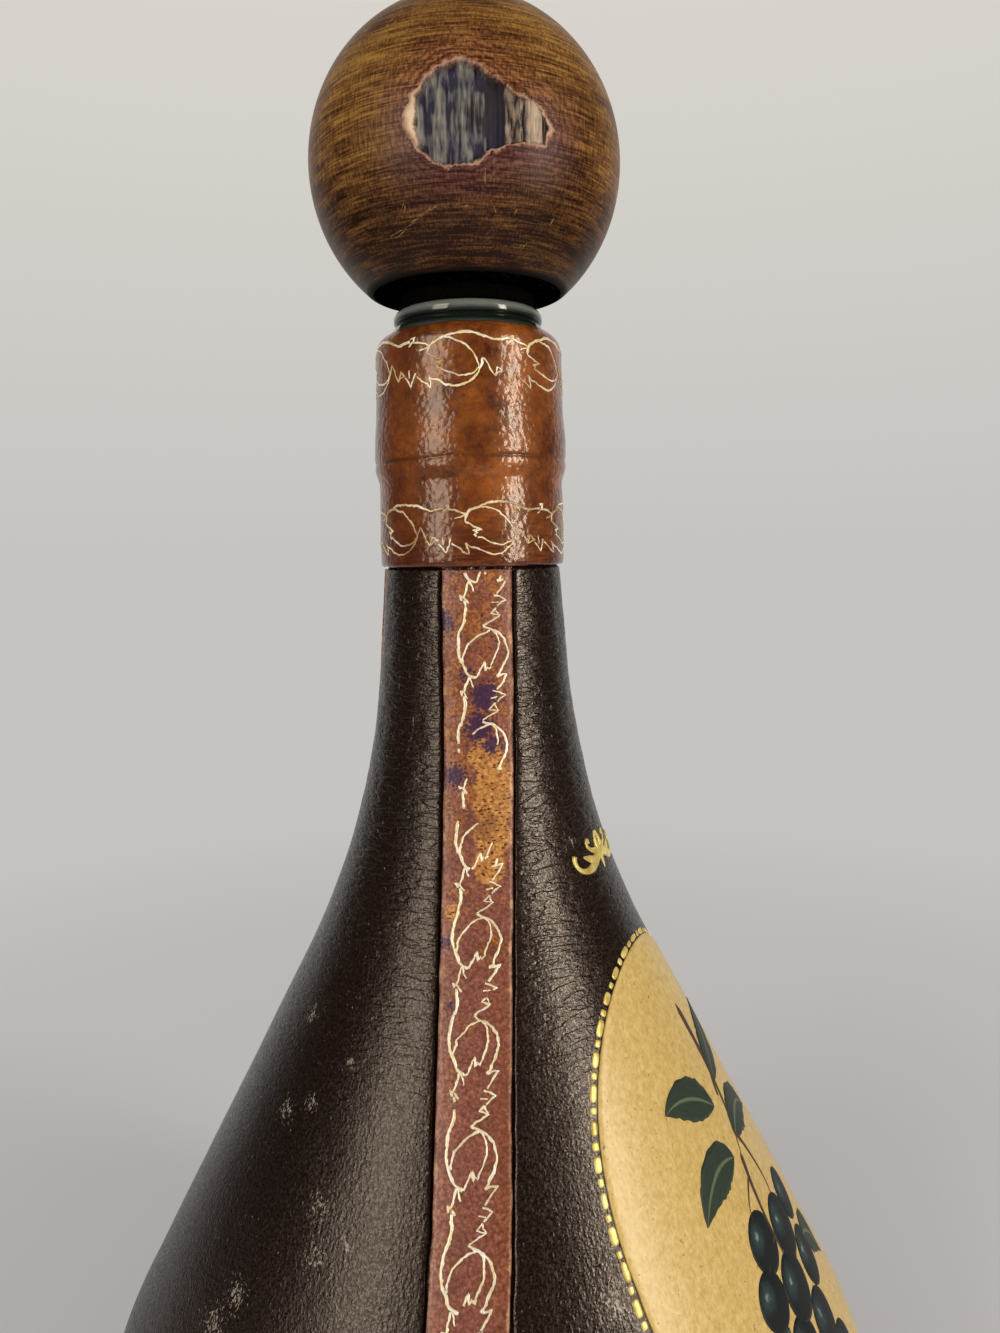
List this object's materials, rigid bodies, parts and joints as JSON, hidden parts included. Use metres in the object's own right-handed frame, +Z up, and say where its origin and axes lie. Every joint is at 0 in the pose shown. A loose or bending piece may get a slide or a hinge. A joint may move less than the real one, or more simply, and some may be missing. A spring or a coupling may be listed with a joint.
{
  "type": "leather-wrapped decanter",
  "caption": "Glass decanter with a flared body wrapped in dark leather panels, gold-tooled straps and neck collar, an oval front medallion, and a cork stopper topped by a wooden ball.",
  "frame": {"origin": "middle of the base, on the surface the decanter stands on", "axes": "+Z up along the bottle's axis, -Y towards the medallion on the front"},
  "size_m": [0.168, 0.1686, 0.345],
  "materials": {
    "base_felt": "dense dark felt",
    "bottle_glass": "clear grey-green bottle glass",
    "dark_leather": "dark brown, semi-gloss pebble grain, scuffed",
    "strap_leather": "reddish tan, tooled in gold, worn",
    "collar_leather": "glossy chestnut, pebble grain, tooled in gold",
    "medallion_leather": "cream lacquered, dark edge",
    "stained_wood": "turned, stained brown, semi-gloss",
    "pad_leather": "matt black",
    "cork": "natural cork",
    "dowel_wood": "plain"
  },
  "bodies": {
    "bottle": {"base_disc": "base_felt", "glass_bottle": "bottle_glass", "front_panel": "dark_leather", "right_rear_panel": "dark_leather", "left_rear_panel": "dark_leather", "left_strap": "strap_leather", "right_strap": "strap_leather", "rear_strap": "strap_leather", "neck_collar": "collar_leather", "front_medallion": "medallion_leather"},
    "stopper": {"stopper_ball": "stained_wood", "stopper_pad": "pad_leather", "stopper_cork": "cork", "stopper_dowel": "dowel_wood"}
  },
  "joints": [
    {"name": "stopper_lift", "type": "slide", "parent": "bottle", "child": "stopper", "axis": [0, 0, 1], "range_m": [0, 0.06]}
  ]
}
